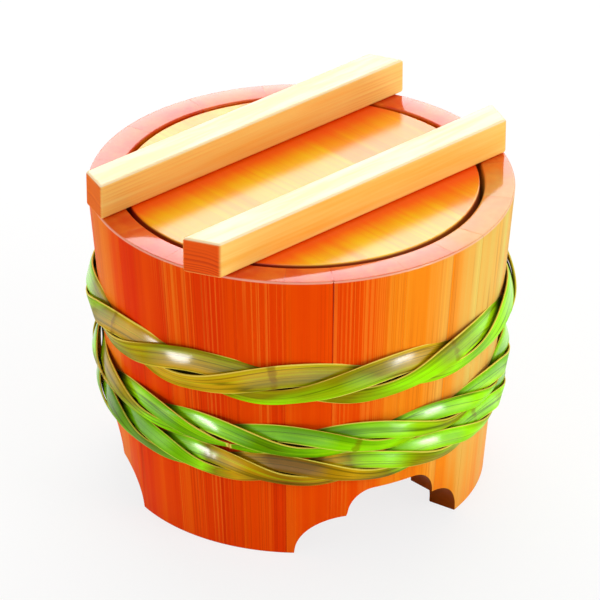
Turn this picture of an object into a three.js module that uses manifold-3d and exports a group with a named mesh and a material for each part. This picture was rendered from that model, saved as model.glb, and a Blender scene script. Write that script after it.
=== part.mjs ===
// A coopered noodle tub: tapered staves, a base let into a groove, three twisted bamboo hoops
// and a drop-in lid with two bars. Millimetres, +Z up. The origin is on the floor, on the tub's axis.
// The lid bars lie along X.
import * as THREE from "three";
import { mergeVertices } from "three/addons/utils/BufferGeometryUtils.js";
import Module from "manifold-3d";

// Tub wall
const RIM_DIAMETER = 210;
const FOOT_DIAMETER = 184;
const TUB_HEIGHT = 158.5;
const WALL_THICKNESS = 15;
const RIM_EASE = 1; // the small chamfer on both edges of the rim
const TUB_TURN_DEG = -42.9; // how far the tub is turned under its lid

// Staves: their widths as shares of the ring, from the first joint left of the front, and where that joint is
const STAVE_SHARES = [18, 21.5, 13, 13, 20, 15.5, 12.5, 23, 21, 24, 22, 20.5, 24, 22, 23.5, 21.5, 24, 21];
const FIRST_JOINT_DEG = -57;

// Foot arches, cut through the wall towards the axis: middles from the front, and spans round the tub
const ARCH_MIDDLES_DEG = [26.85, -87, 149.9];
const ARCH_SPAN_DEG = 58;
const ARCH_CUSP_SPAN_DEG = 29.5;
const ARCH_TOP_SPAN_DEG = 13.1;
const ARCH_CUSP_ASIDE_DEG = 1.7; // how far the cusps and the top are cut to the right of the middle
const ARCH_CUSP_HEIGHT = 20.8;
const ARCH_HEIGHT = 35.4;

// Base, three planks with their edge in a groove of the wall
const BASE_THICKNESS = 12;
const BASE_ABOVE_ARCH = 4.6;
const GROOVE_DEPTH = 5;
const BASE_MIDDLE_PLANK = 58;

// Lid, three planks under two bars whose ends follow the rim
const LID_THICKNESS = 12;
const LID_PLAY = 2.4; // between the lid's edge and the inside of the rim
const LID_MIDDLE_PLANK = 62;
const BAR_WIDTH = 17.7;
const BAR_HEIGHT = 18.4;
const BAR_SPACING = 82.6; // between the middles of the bars
const BARS_ASIDE = 1.6; // how far the pair is set off the lid's middle line
const BACK_BAR_SLIP = 1.2; // how far a bar is set along itself from the lid's middle
const FRONT_BAR_SLIP = -1.9;
const BAR_OVERHANG = 2; // past the outside of the rim
const BAR_EASE = 0.8;

// Bamboo pegs, pointed at both ends, and the nails that hold the bars
const PEG_RADIUS = 1.5;
const PEG_LENGTH = 16;
const PEG_TIP = 2.5;
const STAVE_PEG_HEIGHT = 86;
const PLANK_PEG_SPACING = 74; // between the two pegs of a plank joint
const NAIL_RADIUS = 1.6;
const NAIL_TIP = 3;
const NAIL_GRIP = 10; // how far a nail goes up into its bar
const NAIL_SPACING = 120; // between the two nails of a bar

// Hoops: each is one bamboo strip wound several laps round the tub and twisted as it goes
const HOOP_LAPS = 3;
const STRIP_THICKNESS = 1.2;
const STRIP_GAP = 0.75; // between the laps of a strip
const HOOP_CLEARANCE = 0.45; // between a hoop and the wall
const LOWER_HOOPS_APART = 0.7;
const UPPER_HOOP_HEIGHT = 101.6;
const UPPER_STRIP_WIDTH = 10.1;
const UPPER_TWISTS = 13;
const UPPER_FRONT_RISE = 2.6; // the hoops lie a little aslant: how much higher they sit at the front
const UPPER_RIGHT_RISE = -1.2; // and on the right than their middle height
const LOWER_HOOPS_HEIGHT = 59.4; // where the two lower hoops meet
const LOWER_FRONT_RISE = 1.8;
const LOWER_RIGHT_RISE = -0.7;
const LOWER_STRIP_WIDTH = 7.9;
const LOWER_TWISTS = 16;
const STRIP_END_GAP = 3; // between the two ends of a strip, along the hoop

// Where each strip starts, round the tub from its front and round its twist from the top of its face
const BEHIND_DEG = 180; // a strip that starts here is tucked in behind its other laps
const UPPER_START = { aroundDeg: 160, twistDeg: BEHIND_DEG };
const LOWER_TOP_START = { aroundDeg: -20, twistDeg: -69 };
const LOWER_BOTTOM_START = { aroundDeg: 156, twistDeg: BEHIND_DEG };

// Play between pieces that are glued, seated or pressed together
const FIT_GAP = 0.3;

// How finely curves are cut into flats
const ARC_STEP_DEG = 5.5;
const ARCH_STEPS = 6;
const STEPS_PER_TWIST = 14;
const PEG_SIDES = 6;
const GAP_POINTS = 12; // along each side of a strip's section, where the gap between laps is measured
const TANGENT_PACE = 1e-4; // the share of a strip over which its direction is measured
const WELD = 1e-4; // points closer than this are one point

const RIM_RADIUS = RIM_DIAMETER / 2;
const FOOT_RADIUS = FOOT_DIAMETER / 2;
const WALL_TILT = Math.atan2(RIM_RADIUS - FOOT_RADIUS, TUB_HEIGHT);
const BASE_BOTTOM = ARCH_HEIGHT + BASE_ABOVE_ARCH;
const BASE_TOP = BASE_BOTTOM + BASE_THICKNESS;
const LID_RADIUS = innerRadius(TUB_HEIGHT) - LID_PLAY;
const LID_BOTTOM = TUB_HEIGHT - LID_THICKNESS;
const BAR_BOTTOM = TUB_HEIGHT + FIT_GAP;
const DEG = Math.PI / 180;

const wasm = await Module();
wasm.setup();

function outerRadius(z) {
  return FOOT_RADIUS + ((RIM_RADIUS - FOOT_RADIUS) * z) / TUB_HEIGHT;
}

function innerRadius(z) {
  return outerRadius(z) - WALL_THICKNESS;
}

// A point at a radius, an angle from the tub's front (to the right of it is positive) and a height.
function around(radius, angle, z) {
  return new THREE.Vector3(radius * Math.sin(angle), -radius * Math.cos(angle), z);
}

function wood(color, roughness) {
  return new THREE.MeshStandardMaterial({ color, roughness, metalness: 0 });
}

const FINISH = {
  stave: wood("#dd6a24", 0.42),
  base: wood("#d98a45", 0.55),
  lid: wood("#f0b860", 0.5),
  bar: wood("#f3d79a", 0.5),
  bamboo: wood("#7fb81e", 0.32),
  peg: wood("#cdb46a", 0.6),
};

function named(name, geometry, finish) {
  const mesh = new THREE.Mesh(geometry, finish);
  mesh.name = name;
  return mesh;
}

function geometryOf(points, triangles) {
  const geometry = new THREE.BufferGeometry().setFromPoints(points);
  geometry.setIndex(triangles.flat());
  return geometry;
}

function solidOf(geometry) {
  const bare = geometry.clone();
  bare.deleteAttribute("normal");
  bare.deleteAttribute("uv");
  const merged = mergeVertices(bare, WELD);
  const vertProperties = new Float32Array(merged.attributes.position.array);
  const triVerts = new Uint32Array(merged.index.array);
  return new wasm.Manifold(new wasm.Mesh({ numProp: 3, vertProperties, triVerts }));
}

function geometryFrom(solid) {
  const mesh = solid.getMesh();
  const geometry = new THREE.BufferGeometry();
  geometry.setAttribute("position", new THREE.BufferAttribute(new Float32Array(mesh.vertProperties), 3));
  geometry.setIndex(new THREE.BufferAttribute(new Uint32Array(mesh.triVerts), 1));
  return geometry;
}

// A geometry with other geometries cut out of it, where they reach it.
function cut(geometry, tools) {
  const solid = tools.reduce((left, tool) => left.subtract(solidOf(tool)), solidOf(geometry));
  return geometryFrom(solid);
}

// The wall's section as radius and height, from the foot's inner edge round by the outside.
function wallProfile() {
  const grooveFloor = BASE_BOTTOM;
  const grooveRoof = BASE_TOP + 2 * FIT_GAP;
  const grooveRadius = innerRadius(BASE_TOP) + GROOVE_DEPTH;
  const below = TUB_HEIGHT - RIM_EASE;
  return [
    [innerRadius(0), 0],
    [FOOT_RADIUS, 0],
    [outerRadius(below), below],
    [RIM_RADIUS - RIM_EASE, TUB_HEIGHT],
    [innerRadius(TUB_HEIGHT) + RIM_EASE, TUB_HEIGHT],
    [innerRadius(below), below],
    [innerRadius(grooveRoof), grooveRoof],
    [grooveRadius, grooveRoof],
    [grooveRadius, grooveFloor],
    [innerRadius(grooveFloor), grooveFloor],
  ].map(([radius, z]) => new THREE.Vector2(radius, z));
}

// One stave: the wall's section swept from joint to joint, set back from each joint by half the glue line.
function staveGeometry(from, to) {
  const profile = wallProfile();
  const steps = Math.ceil((to - from) / (ARC_STEP_DEG * DEG));
  const points = [];
  for (let step = 0; step <= steps; step++) {
    for (const { x: radius, y: z } of profile) {
      const setBack = Math.asin(FIT_GAP / 2 / radius);
      const span = to - from - 2 * setBack;
      points.push(around(radius, from + setBack + (span * step) / steps, z));
    }
  }
  const count = profile.length;
  const triangles = [];
  for (let step = 0; step < steps; step++) {
    for (let k = 0; k < count; k++) {
      const a = step * count + k;
      const b = step * count + ((k + 1) % count);
      triangles.push([a, a + count, b + count], [a, b + count, b]);
    }
  }
  for (const [a, b, c] of THREE.ShapeUtils.triangulateShape(profile, [])) {
    const end = steps * count;
    triangles.push([a, b, c], [end + c, end + b, end + a]);
  }
  return geometryOf(points, triangles);
}

// One side of an arch's outline as angle and height, from the floor up: two quarter rounds with a cusp between.
// The side is 1 on the right and -1 on the left.
function archOutline(side) {
  const aside = ARCH_CUSP_ASIDE_DEG * DEG;
  const foot = ((side * ARCH_SPAN_DEG) / 2) * DEG;
  const cusp = aside + ((side * ARCH_CUSP_SPAN_DEG) / 2) * DEG;
  const top = aside + ((side * ARCH_TOP_SPAN_DEG) / 2) * DEG;
  const rounds = [
    [foot, cusp, 0, ARCH_CUSP_HEIGHT],
    [cusp, top, ARCH_CUSP_HEIGHT, ARCH_HEIGHT],
  ];
  const half = [];
  for (const [wide, narrow, low, high] of rounds) {
    for (let step = 0; step <= ARCH_STEPS; step++) {
      const turn = (step / ARCH_STEPS) * 90 * DEG;
      half.push([narrow + (wide - narrow) * Math.cos(turn), low + (high - low) * Math.sin(turn)]);
    }
  }
  return half;
}

// The space of an arch, cut towards the axis, so that its sides are radial as on a stave cut by itself.
function archCutter(middle) {
  const right = archOutline(1);
  const left = archOutline(-1);
  for (const side of [right, left]) side.unshift([side[0][0], -WALL_THICKNESS]);
  const [widest] = right[0];
  left.reverse();
  const outline = [...right, ...left].map(([across, z]) => new THREE.Vector2(across, z));
  const count = outline.length;
  const near = FOOT_RADIUS - 2 * WALL_THICKNESS;
  const far = (FOOT_RADIUS + 2 * WALL_THICKNESS) / Math.cos(widest);
  const points = [near, far].flatMap((radius) => outline.map(({ x, y }) => around(radius, middle + x, y)));
  const triangles = [];
  for (const [a, b, c] of THREE.ShapeUtils.triangulateShape(outline, [])) {
    triangles.push([c, b, a], [a + count, b + count, c + count]);
  }
  for (let k = 0; k < count; k++) {
    const next = (k + 1) % count;
    triangles.push([k, next, next + count], [k, next + count, k + count]);
  }
  return geometryOf(points, triangles);
}

// A peg along Y with two points, and the plain hole that it sits in.
function pegGeometry() {
  const half = PEG_LENGTH / 2;
  const profile = [
    [0, -half],
    [PEG_RADIUS, PEG_TIP - half],
    [PEG_RADIUS, half - PEG_TIP],
    [0, half],
  ].map(([radius, along]) => new THREE.Vector2(radius, along));
  return new THREE.LatheGeometry(profile, PEG_SIDES);
}

function pegHole() {
  const radius = PEG_RADIUS + FIT_GAP;
  return new THREE.CylinderGeometry(radius, radius, PEG_LENGTH + 2 * FIT_GAP, PEG_SIDES);
}

// A disc's slice between two lines across X, lying on the XY plane.
function plankGeometry(radius, from, to, thickness) {
  const start = Math.acos(Math.min(to / radius, 1));
  const end = Math.acos(Math.max(from / radius, -1));
  const shape = new THREE.Shape();
  shape.absarc(0, 0, radius, start, end, false);
  shape.absarc(0, 0, radius, -end, -start, false);
  const curveSegments = Math.ceil((end - start) / (ARC_STEP_DEG * DEG));
  return new THREE.ExtrudeGeometry(shape, { depth: thickness, bevelEnabled: false, curveSegments });
}

// A round board of three planks with two pegs in each joint, as a group whose floor is at z = 0.
function roundBoard(name, radius, thickness, middleWidth, finish, holes) {
  const board = new THREE.Group();
  const joint = middleWidth / 2;
  const seam = FIT_GAP / 2;
  const pegs = [];
  for (const x of [-joint, joint]) {
    for (const side of [-1, 1]) {
      pegs.push(new THREE.Vector3(x, (side * PLANK_PEG_SPACING) / 2, thickness / 2));
    }
  }
  const pegHoles = pegs.map((at) => pegHole().rotateZ(90 * DEG).translate(at.x, at.y, at.z));
  const slices = {
    left: [-radius, -joint - seam],
    middle: [seam - joint, joint - seam],
    right: [joint + seam, radius],
  };
  for (const [side, [from, to]] of Object.entries(slices)) {
    const plank = plankGeometry(radius, from, to, thickness);
    board.add(named(`${name}_plank_${side}`, cut(plank, [...pegHoles, ...holes]), finish));
  }
  pegs.forEach((at, index) => {
    const peg = named(`${name}_peg_${index + 1}`, pegGeometry(), FINISH.peg);
    peg.position.copy(at);
    peg.rotation.z = 90 * DEG;
    board.add(peg);
  });
  return board;
}

// The middle line of a hoop's strip: it swings up and down along the wall and in and out as it goes round.
function stripPath(hoop, along) {
  const angle = hoop.startAngle + along * hoop.sweep;
  const phase = hoop.startPhase + along * hoop.sweep * hoop.twistRate;
  const up = hoop.swing * Math.sin(phase);
  const out = hoop.stand + hoop.lift * Math.cos(phase);
  const level = hoop.height + hoop.frontRise * Math.cos(angle) + hoop.rightRise * Math.sin(angle);
  const radius = outerRadius(level) + up * Math.sin(WALL_TILT) + out * Math.cos(WALL_TILT);
  const z = level + up * Math.cos(WALL_TILT) - out * Math.sin(WALL_TILT);
  return around(radius, angle, z);
}

// A strip's section at one place: four corners, with its face laid along the wall.
function stripCorners(hoop, along) {
  const middle = stripPath(hoop, along);
  const ahead = stripPath(hoop, along + TANGENT_PACE);
  const forward = ahead.sub(stripPath(hoop, along - TANGENT_PACE)).normalize();
  const angle = hoop.startAngle + along * hoop.sweep;
  const facing = around(Math.cos(WALL_TILT), angle, -Math.sin(WALL_TILT));
  const across = facing.clone().cross(forward).normalize();
  const outward = forward.clone().cross(across);
  const corners = [[-1, -1], [1, -1], [1, 1], [-1, 1]];
  return corners.map(([a, b]) =>
    middle
      .clone()
      .addScaledVector(across, (a * hoop.width) / 2)
      .addScaledVector(outward, (b * STRIP_THICKNESS) / 2),
  );
}

// What a hoop works out to: its swing keeps the laps edge to edge, its lift keeps them one behind the other.
function hoopPlan({ width, twists, handed, start, frontRise, rightRise, heightFor }) {
  const lapShare = Math.sin(Math.PI / HOOP_LAPS);
  const turns = twists / HOOP_LAPS;
  const level = (width + STRIP_GAP) / (2 * lapShare);
  const slope = Math.atan((level * turns) / FOOT_RADIUS);
  const tall = width / Math.cos(slope);
  const swing = (tall + STRIP_GAP) / (2 * lapShare);
  const height = heightFor(swing + tall / 2);
  const lift = (STRIP_THICKNESS + STRIP_GAP) / Math.sin((2 * Math.PI) / HOOP_LAPS);
  return {
    width,
    swing,
    lift,
    height,
    frontRise,
    rightRise,
    stand: HOOP_CLEARANCE + lift + STRIP_THICKNESS / 2,
    twistRate: handed * turns,
    startAngle: start.aroundDeg * DEG,
    startPhase: start.twistDeg * DEG,
    sweep: 2 * Math.PI * HOOP_LAPS - STRIP_END_GAP / outerRadius(height),
    steps: twists * STEPS_PER_TWIST,
  };
}

function hoopGeometry(hoop) {
  const points = [];
  for (let step = 0; step <= hoop.steps; step++) {
    points.push(...stripCorners(hoop, step / hoop.steps));
  }
  const count = points.length / (hoop.steps + 1);
  const triangles = [[2, 1, 0], [3, 2, 0]];
  for (let step = 0; step < hoop.steps; step++) {
    for (let k = 0; k < count; k++) {
      const a = step * count + k;
      const b = step * count + ((k + 1) % count);
      triangles.push([a, b, b + count], [a, b + count, a + count]);
    }
  }
  const end = hoop.steps * count;
  triangles.push([end, end + 1, end + 2], [end, end + 2, end + 3]);
  return geometryOf(points, triangles);
}

// The least gap between laps of one strip, on points spread over its edges and faces.
function leastGap(hoop) {
  const places = hoop.steps * 2;
  const reach = 3 * hoop.width; // places further apart than this can't touch
  const rings = [];
  for (let place = 0; place <= places; place++) {
    const corners = stripCorners(hoop, place / places);
    const ring = [];
    corners.forEach((corner, k) => {
      for (let point = 0; point < GAP_POINTS; point++) {
        ring.push(corner.clone().lerp(corners[(k + 1) % corners.length], point / GAP_POINTS));
      }
    });
    rings.push(ring);
  }
  const halfLap = Math.floor(places / HOOP_LAPS / 2);
  let least = Infinity;
  for (let i = 0; i < rings.length; i++) {
    for (let j = i + halfLap; j < rings.length; j++) {
      if (rings[i][0].distanceTo(rings[j][0]) > reach) continue;
      for (const p of rings[i]) {
        for (const q of rings[j]) least = Math.min(least, p.distanceTo(q));
      }
    }
  }
  return least;
}

// The tub: staves and their pegs
const tub = new THREE.Group();
tub.rotation.z = TUB_TURN_DEG * DEG;

const ring = STAVE_SHARES.reduce((sum, share) => sum + share, 0);
const joints = [FIRST_JOINT_DEG * DEG];
for (const share of STAVE_SHARES) {
  joints.push(joints.at(-1) + (share / ring) * 2 * Math.PI);
}
const pegCircle = outerRadius(STAVE_PEG_HEIGHT) - WALL_THICKNESS / 2;
const arches = ARCH_MIDDLES_DEG.map((degrees) => archCutter(degrees * DEG));

STAVE_SHARES.forEach((share, index) => {
  const number = String(index + 1).padStart(2, "0");
  const holes = [joints[index], joints[index + 1]].map((angle) => {
    const at = around(pegCircle, angle, STAVE_PEG_HEIGHT);
    return pegHole().rotateZ(angle - 90 * DEG).translate(at.x, at.y, at.z);
  });
  const stave = staveGeometry(joints[index], joints[index + 1]);
  tub.add(named(`stave_${number}`, cut(stave, [...holes, ...arches]), FINISH.stave));
  const peg = named(`stave_peg_${number}`, pegGeometry(), FINISH.peg);
  peg.position.copy(around(pegCircle, joints[index], STAVE_PEG_HEIGHT));
  peg.rotation.z = joints[index] - 90 * DEG;
  tub.add(peg);
});

// The base, seated on the floor of its groove
const baseRadius = innerRadius(BASE_TOP) + GROOVE_DEPTH - FIT_GAP;
const base = roundBoard("base", baseRadius, BASE_THICKNESS, BASE_MIDDLE_PLANK, FINISH.base, []);
base.position.z = BASE_BOTTOM + FIT_GAP;
tub.add(base);

// The hoops: the upper one climbs to the right, and the two lower ones fall to the right
const hoops = {
  upper_hoop: hoopPlan({
    width: UPPER_STRIP_WIDTH,
    twists: UPPER_TWISTS,
    handed: 1,
    start: UPPER_START,
    frontRise: UPPER_FRONT_RISE,
    rightRise: UPPER_RIGHT_RISE,
    heightFor: () => UPPER_HOOP_HEIGHT,
  }),
  lower_hoop_top: hoopPlan({
    width: LOWER_STRIP_WIDTH,
    twists: LOWER_TWISTS,
    handed: -1,
    start: LOWER_TOP_START,
    frontRise: LOWER_FRONT_RISE,
    rightRise: LOWER_RIGHT_RISE,
    heightFor: (half) => LOWER_HOOPS_HEIGHT + LOWER_HOOPS_APART / 2 + half,
  }),
  lower_hoop_bottom: hoopPlan({
    width: LOWER_STRIP_WIDTH,
    twists: LOWER_TWISTS,
    handed: -1,
    start: LOWER_BOTTOM_START,
    frontRise: LOWER_FRONT_RISE,
    rightRise: LOWER_RIGHT_RISE,
    heightFor: (half) => LOWER_HOOPS_HEIGHT - LOWER_HOOPS_APART / 2 - half,
  }),
};
for (const [name, hoop] of Object.entries(hoops)) {
  tub.add(named(name, hoopGeometry(hoop), FINISH.bamboo));
  console.log(`${name}: least gap between its laps ${leastGap(hoop).toFixed(2)} mm`);
}

// The lid: a round board, two bars across it and a nail up into each bar near its ends
const lid = new THREE.Group();
const nailHoleRadius = NAIL_RADIUS + FIT_GAP;
const nailHoleLength = 4 * LID_THICKNESS; // long enough to come out under the lid
const nailHole = new THREE.CylinderGeometry(nailHoleRadius, nailHoleRadius, nailHoleLength, PEG_SIDES);
nailHole.rotateX(90 * DEG);
const frontBarMiddle = BARS_ASIDE - BAR_SPACING / 2;
const backBarMiddle = BARS_ASIDE + BAR_SPACING / 2;
const nailPlaces = [frontBarMiddle, backBarMiddle].flatMap((middle) =>
  [-1, 1].map((end) => new THREE.Vector2((end * NAIL_SPACING) / 2, middle)),
);
const lidHoles = nailPlaces.map((at) => nailHole.clone().translate(at.x, at.y, 0));
const board = roundBoard("lid", LID_RADIUS, LID_THICKNESS, LID_MIDDLE_PLANK, FINISH.lid, lidHoles);
board.position.z = LID_BOTTOM;
lid.add(board);

// Half of a bar's length at a distance from the lid's middle, so that its ends follow the rim.
function barReach(offset) {
  return Math.sqrt((RIM_RADIUS + BAR_OVERHANG) ** 2 - offset ** 2);
}

function barGeometry(middle, slip) {
  const near = middle - BAR_WIDTH / 2;
  const far = middle + BAR_WIDTH / 2;
  const corners = [
    [-barReach(near), near],
    [barReach(near), near],
    [barReach(far), far],
    [-barReach(far), far],
  ].map(([x, y]) => new THREE.Vector2(x + slip, y));
  const bar = new THREE.ExtrudeGeometry(new THREE.Shape(corners), {
    depth: BAR_HEIGHT - 2 * BAR_EASE,
    bevelThickness: BAR_EASE,
    bevelSize: BAR_EASE,
    bevelOffset: -BAR_EASE,
    bevelSegments: 1,
  });
  bar.translate(0, 0, BAR_BOTTOM + BAR_EASE);
  const nailTop = BAR_BOTTOM + NAIL_GRIP + FIT_GAP;
  const holes = nailPlaces.map((at) => nailHole.clone().translate(at.x, at.y, nailTop - nailHoleLength / 2));
  return cut(bar, holes);
}

lid.add(named("lid_bar_back", barGeometry(backBarMiddle, BACK_BAR_SLIP), FINISH.bar));
lid.add(named("lid_bar_front", barGeometry(frontBarMiddle, FRONT_BAR_SLIP), FINISH.bar));

const nailLength = BAR_BOTTOM + NAIL_GRIP - LID_BOTTOM;
const nailProfile = [
  [0, 0],
  [NAIL_RADIUS, 0],
  [NAIL_RADIUS, nailLength - NAIL_TIP],
  [0, nailLength],
].map(([radius, along]) => new THREE.Vector2(radius, along));
nailPlaces.forEach((at, index) => {
  const nail = named(`bar_nail_${index + 1}`, new THREE.LatheGeometry(nailProfile, PEG_SIDES), FINISH.peg);
  nail.position.set(at.x, at.y, LID_BOTTOM);
  nail.rotation.x = 90 * DEG;
  lid.add(nail);
});

const noodleTub = new THREE.Group();
noodleTub.add(tub, lid);

export default noodleTub;
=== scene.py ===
"""The looks of a coopered noodle tub: grained staves, split bamboo hoops, a plank lid and its two bars.

Metres, +Z up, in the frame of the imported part. Angles round the tub count from its front, to the right.
"""

import math

import bmesh
import bpy
from mathutils import Matrix, Vector


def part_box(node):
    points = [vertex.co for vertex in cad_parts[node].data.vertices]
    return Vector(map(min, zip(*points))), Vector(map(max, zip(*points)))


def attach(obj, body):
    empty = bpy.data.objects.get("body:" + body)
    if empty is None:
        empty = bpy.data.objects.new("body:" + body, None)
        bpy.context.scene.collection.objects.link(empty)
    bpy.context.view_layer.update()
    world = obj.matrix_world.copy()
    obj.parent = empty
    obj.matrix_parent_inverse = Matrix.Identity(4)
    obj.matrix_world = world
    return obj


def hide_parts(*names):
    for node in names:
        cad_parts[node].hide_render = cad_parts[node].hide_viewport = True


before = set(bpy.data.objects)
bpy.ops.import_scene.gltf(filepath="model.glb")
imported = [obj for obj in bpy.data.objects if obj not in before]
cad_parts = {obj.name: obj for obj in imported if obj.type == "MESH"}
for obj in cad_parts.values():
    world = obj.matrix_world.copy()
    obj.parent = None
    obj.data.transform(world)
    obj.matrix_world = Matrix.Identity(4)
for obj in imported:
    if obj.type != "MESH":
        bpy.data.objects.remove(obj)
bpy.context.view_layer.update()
MM = 0.001

# Tub wall
RIM_RADIUS = 105 * MM
FOOT_RADIUS = 92 * MM
TUB_HEIGHT = 158.5 * MM
WALL_THICKNESS = 15 * MM
RIM_ROUND = 1.1 * MM
FOOT_ROUND = 0.6 * MM
TUB_TURN = math.radians(-42.9)
WALL_TAPER = (RIM_RADIUS - FOOT_RADIUS) / TUB_HEIGHT
WALL_TILT = math.atan(WALL_TAPER)

# Staves: widths as shares of the ring from the first joint
STAVE_SHARES = [18, 21.5, 13, 13, 20, 15.5, 12.5, 23, 21, 24, 22, 20.5, 24, 22, 23.5, 21.5, 24, 21]
# How far each is from deep (0) to pale (1) at its left and right edge: partly each stave's own tone, partly
# painted light, as the staves on the lit right side are made paler
STAVE_TONES = [
    (0.06, 0.2), (0.28, 0.14), (0.17, 0.24), (0.22, 0.26), (0.26, 0.48), (0.55, 0.64),
    (0.6, 0.96), (0.8, 0.86), (0.92, 0.7), (0.62, 0.5), (0.4, 0.46), (0.3, 0.36),
    (0.55, 0.44), (0.35, 0.4), (0.2, 0.3), (0.45, 0.4), (0.3, 0.48), (0.5, 0.28),
]
# Towards the foot all staves come this far nearer to one tone
FOOT_TONE = 0.33
FOOT_TONE_SHARE = 0.35
FOOT_TONE_TOP = 60 * MM
FOOT_TONE_BOTTOM = 15 * MM
FIRST_JOINT = math.radians(-57)
JOINT_GAP = 0.02 * MM
JOINT_EASE = 0.08 * MM
OPEN_JOINT_EASE = 0.24 * MM
OPEN_JOINTS = (4, 7)  # the staves whose right-hand joint shows as a dark line
CHIP_DEPTH = 1.4 * MM
CHIP_HEIGHT = 4 * MM
CHIPPED_STAVE = 4  # its right-hand corner at the rim is worn
EASE_AT_RIM = 0.25  # how far an eased joint also dips at the rim, as a share of its ease
STAVE_COLUMNS = 84
GRAIN_STEP = 0.137  # from stave to stave, so that no two show the same grain
GRAIN_SPREAD = 0.25

# Foot arches
ARCH_MIDDLES = [math.radians(degrees) for degrees in (26.85, -87, 149.9)]
ARCH_HALF = math.radians(58 / 2)
ARCH_CUSP_HALF = math.radians(29.5 / 2)
ARCH_TOP_HALF = math.radians(13.1 / 2)
ARCH_CUSP_ASIDE = math.radians(1.7)  # the cusps and the top are cut this far to the right of the middle
ARCH_CUSP_HEIGHT = 20.8 * MM
ARCH_HEIGHT = 35.4 * MM

# Base and lid, each a round board of three planks
BASE_BOTTOM = 40 * MM
BASE_THICKNESS = 12 * MM
GROOVE_DEPTH = 5 * MM
GROOVE_PLAY = 0.3 * MM
PLANK_ROUND = 0.9 * MM
SEAM_CLOSE = 0.13 * MM  # planks glued edge to edge stand this much nearer than their solids
PLANK_GRAIN = (0.05, 0.31, 0.62)  # where in the wood each plank takes its grain from
BASE_RADIUS = 84.9 * MM
LID_RADIUS = 87.6 * MM
BAR_OVERHANG = 2 * MM
BAR_ROUND = 1.5 * MM
BAR_LINES = (42.9 * MM, -39.7 * MM)
# Each bar's grain offset, tone, and how much further its left end reaches at the back corner. The back
# bar's paler tone is partly painted light, standing in for the light that the front bar shades off its
# side.
BARS = {"lid_bar_back": (0.11, 0.72, 2.2 * MM), "lid_bar_front": (0.47, 0.42, 1.5 * MM)}
# Painted shade: the lid is darker beside the bars, this far from their middles, and fading out to its reach
BAR_SHADE_CORE = 11 * MM
BAR_SHADE_REACH = 29 * MM
EDGE_GRAIN_AND_SHADE = 0.4 * MM  # how far in from its edge a board is darkened, as edge grain and as painted shade in the gap at the rim

# Hoops: strips wound three laps round the tub, twisted as they go
HOOP_LAPS = 3
STRIP_THICKNESS = 1.1 * MM
STRIP_DOME_SHARE = 0.024  # of its width
STRIP_OFF_WALL = 0.35 * MM
STRIP_PASS_LEAN = math.radians(4)  # over and under its neighbours
STRIP_END_GAP = 0.4 * MM
STRIP_TIP = 14 * MM  # over which its ends narrow
STRIP_TIP_SHARE = 0.45
STRIP_TIP_BARE = 5 * MM  # the cut end shows straw colour over this length
STRIP_STEP = 1.25 * MM
CORE_SHARE = 0.5  # size of the strand inside a winding, as a share of its strip
CORE_OUT = 0.5  # from the middle of the winding towards its outermost strips
# How far the core strand is painted dark, as shade
CORE_PAINTED_SHADE = 1.15
NODE_RIDGE = 0.22 * MM
NODE_REACH = 1.3 * MM
NODE_SMUDGE = 5 * MM  # how far the brown round a node reaches
NODE_ANGLE = math.radians(137.5)  # round the tub from one node of the cane to the next

# Camera, lamps and floor
CAMERA_LENS = 289.6
CAMERA_ELEVATION = 29.17
CAMERA_DISTANCE = 2.4
CAMERA_AIM = 90.76 * MM
CAMERA_ASIDE = -0.67 * MM
LAMP_AIM = 90 * MM
FLOOR_HALF = 6
FLOOR_GLOW = 0.8  # how much of the floor is plain white to the eye


def outer_radius(z):
    return FOOT_RADIUS + WALL_TAPER * z


def srgb(red, green, blue):
    """A colour written as 0 to 255 on the screen, as the linear values that a shader takes."""
    shares = [value / 255 for value in (red, green, blue)]
    return [s / 12.92 if s <= 0.04045 else ((s + 0.055) / 1.055) ** 2.4 for s in shares] + [1.0]


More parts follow.
